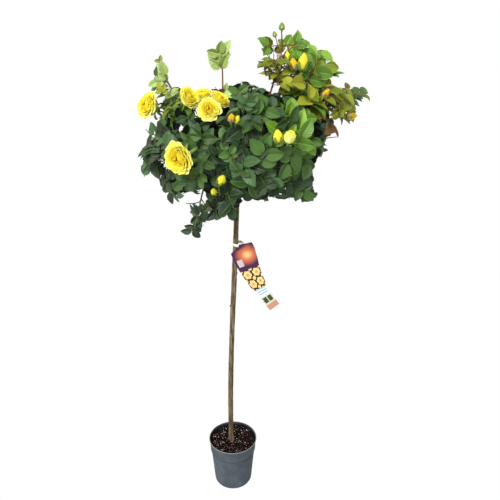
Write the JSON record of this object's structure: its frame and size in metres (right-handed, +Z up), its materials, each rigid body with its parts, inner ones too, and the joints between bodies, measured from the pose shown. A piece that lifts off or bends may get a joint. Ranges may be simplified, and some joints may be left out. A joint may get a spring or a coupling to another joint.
{
  "type": "standard rose bush in a nursery pot",
  "caption": "Tree-form yellow rose: a bare grafted stem with a full leafy crown in flower, standing in a grey-blue plastic nursery pot.",
  "frame": {"origin": "centre of the pot's flat underside", "axes": "+Z up along the stem, -Y towards the plant's front, +X to the right seen from the front"},
  "size_m": [0.6638, 0.5053, 1.5714],
  "materials": {
    "pot": "dark grey-blue moulded plastic, satin, with a paler worn lip",
    "soil": "moist dark brown bark compost with pale chips and fibres",
    "bark": "grey-brown ridged rose bark, matte",
    "cane": "olive-brown young bark, semi-matte, with prickles",
    "foliage": "semi-gloss dark green leaves with bright yellow double flowers and orange buds",
    "tag": "thin printed plastic label, satin"
  },
  "bodies": {
    "root": {"bough_back_high": "cane", "bough_back_left": "cane", "bough_back_left_low": "cane", "bough_back_right": "cane", "bough_back_right_low": "cane", "bough_far_right": "cane", "bough_front_hanging": "cane", "bough_front_high": "cane", "bough_front_left": "cane", "bough_front_low": "cane", "bough_left_hanging": "cane", "bough_left_high": "cane", "bough_left_low": "cane", "bough_right_front": "cane", "bough_right_hanging": "cane", "bough_right_high": "cane", "bough_right_low": "cane", "bough_right_middle": "cane", "bough_top_left": "cane", "bough_top_right": "cane", "bough_upper_left": "cane", "leaves_back_high": "foliage", "leaves_back_left": "foliage", "leaves_back_left_low": "foliage", "leaves_back_right": "foliage", "leaves_back_right_low": "foliage", "leaves_far_right": "foliage", "leaves_front_hanging": "foliage", "leaves_front_high": "foliage", "leaves_front_left": "foliage", "leaves_front_low": "foliage", "leaves_left_hanging": "foliage", "leaves_left_high": "foliage", "leaves_left_low": "foliage", "leaves_right_front": "foliage", "leaves_right_hanging": "foliage", "leaves_right_high": "foliage", "leaves_right_low": "foliage", "leaves_right_middle": "foliage", "leaves_top_left": "foliage", "leaves_top_right": "foliage", "leaves_upper_left": "foliage", "limb_back_left": "cane", "limb_back_right": "cane", "limb_front": "cane", "limb_front_left": "cane", "limb_left": "cane", "limb_right": "cane", "limb_upper_right": "cane", "pot": "pot", "soil": "soil", "stem": "bark", "tag": "tag"}
  },
  "joints": []
}
